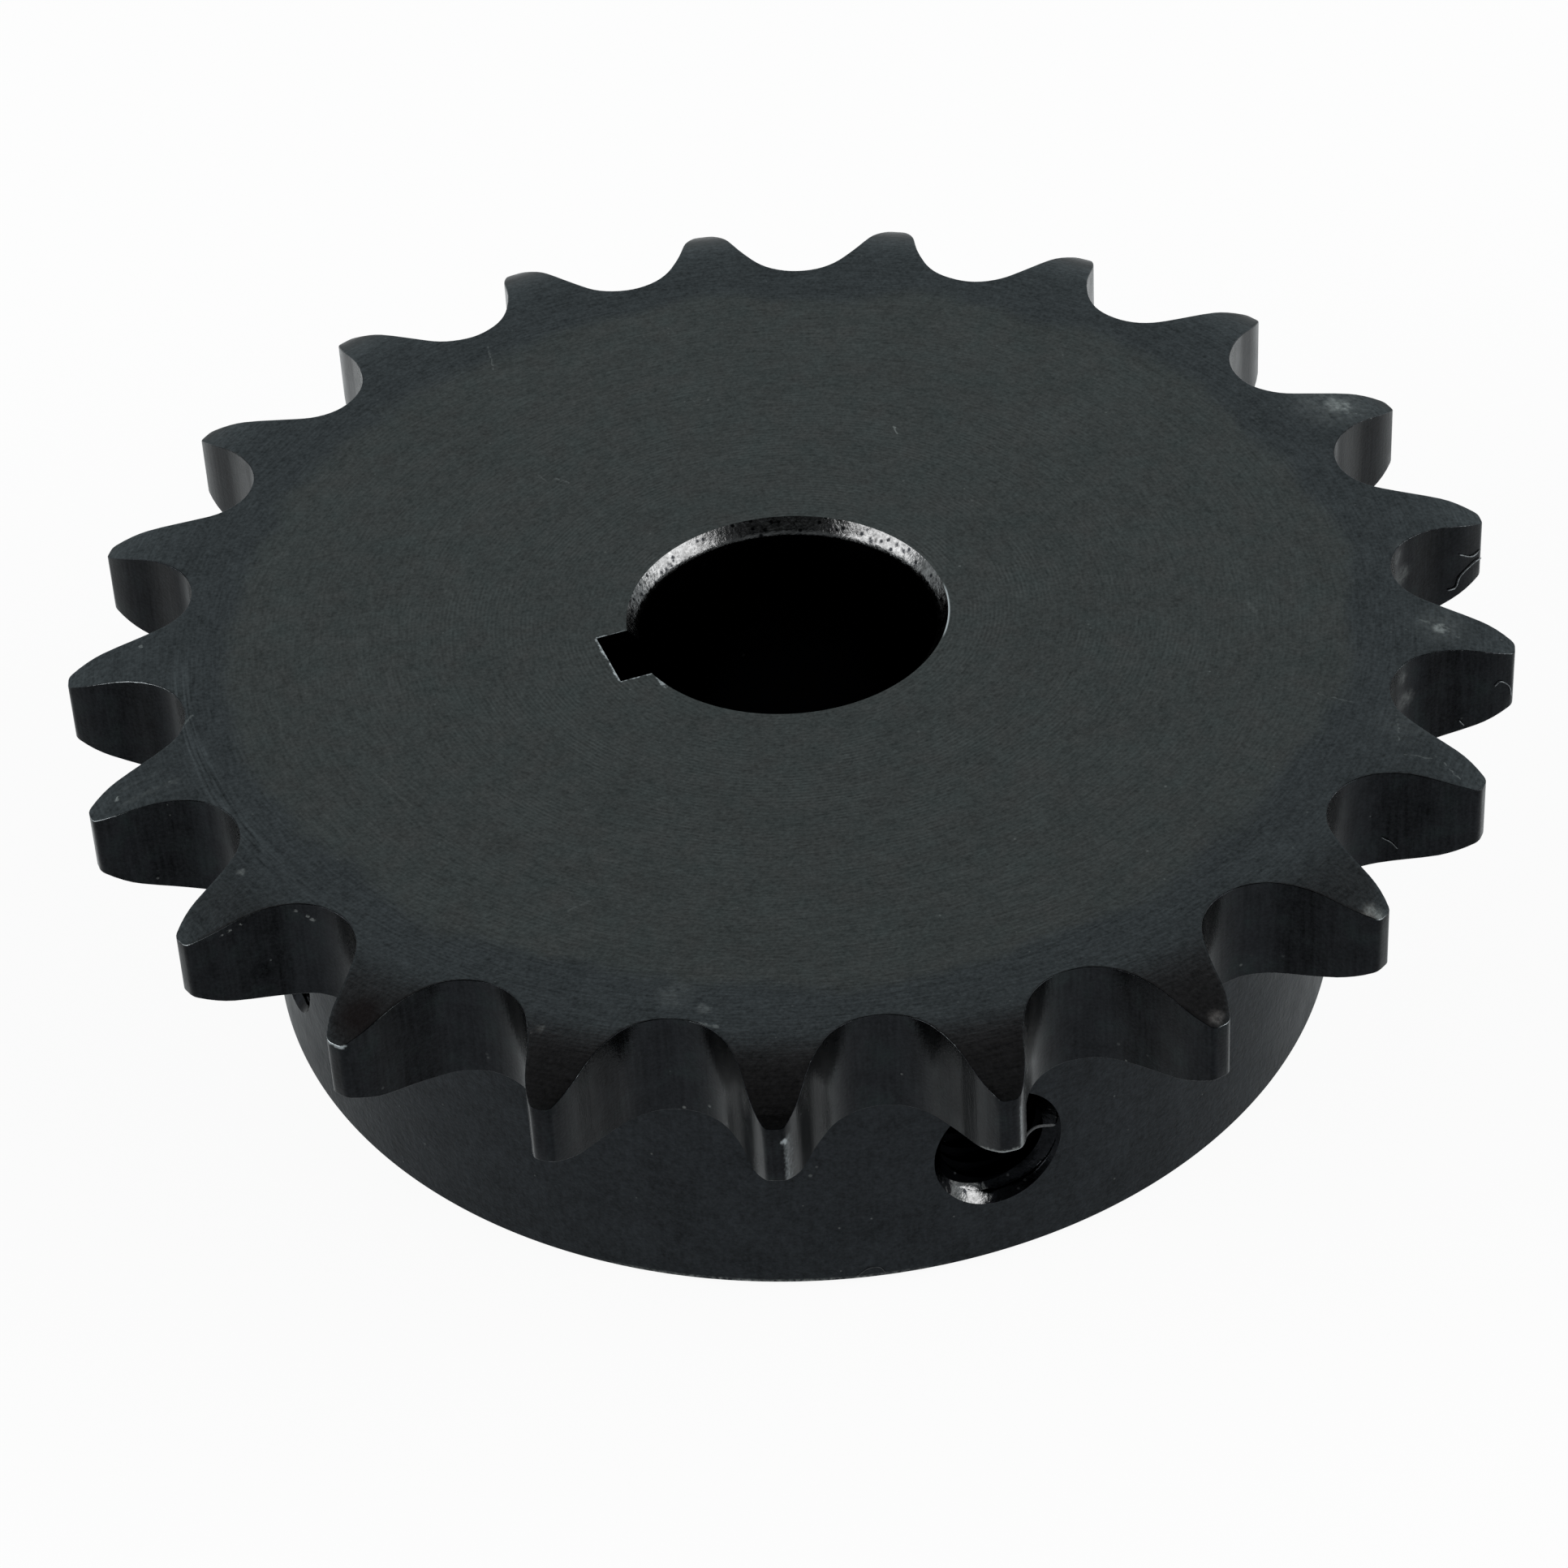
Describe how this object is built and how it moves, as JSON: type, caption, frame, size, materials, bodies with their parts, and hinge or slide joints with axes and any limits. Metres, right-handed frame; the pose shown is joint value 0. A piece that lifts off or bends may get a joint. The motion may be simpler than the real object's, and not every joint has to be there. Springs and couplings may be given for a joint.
{
  "type": "chain sprocket",
  "caption": "Roller-chain sprocket with a hub on one side, a keyed bore and two radial set-screw holes, in black-oxide steel.",
  "frame": {"origin": "on the bore axis, at the hub's end face, which the part stands on", "axes": "+Z along the bore axis from the hub to the toothed plate; +X through the middle of the keyway and of the tooth over it"},
  "size_m": [0.0914, 0.0916, 0.0254],
  "materials": {
    "black_steel": "machined steel with a matt black-oxide finish"
  },
  "bodies": {
    "root": {"sprocket": "black_steel"}
  },
  "joints": []
}
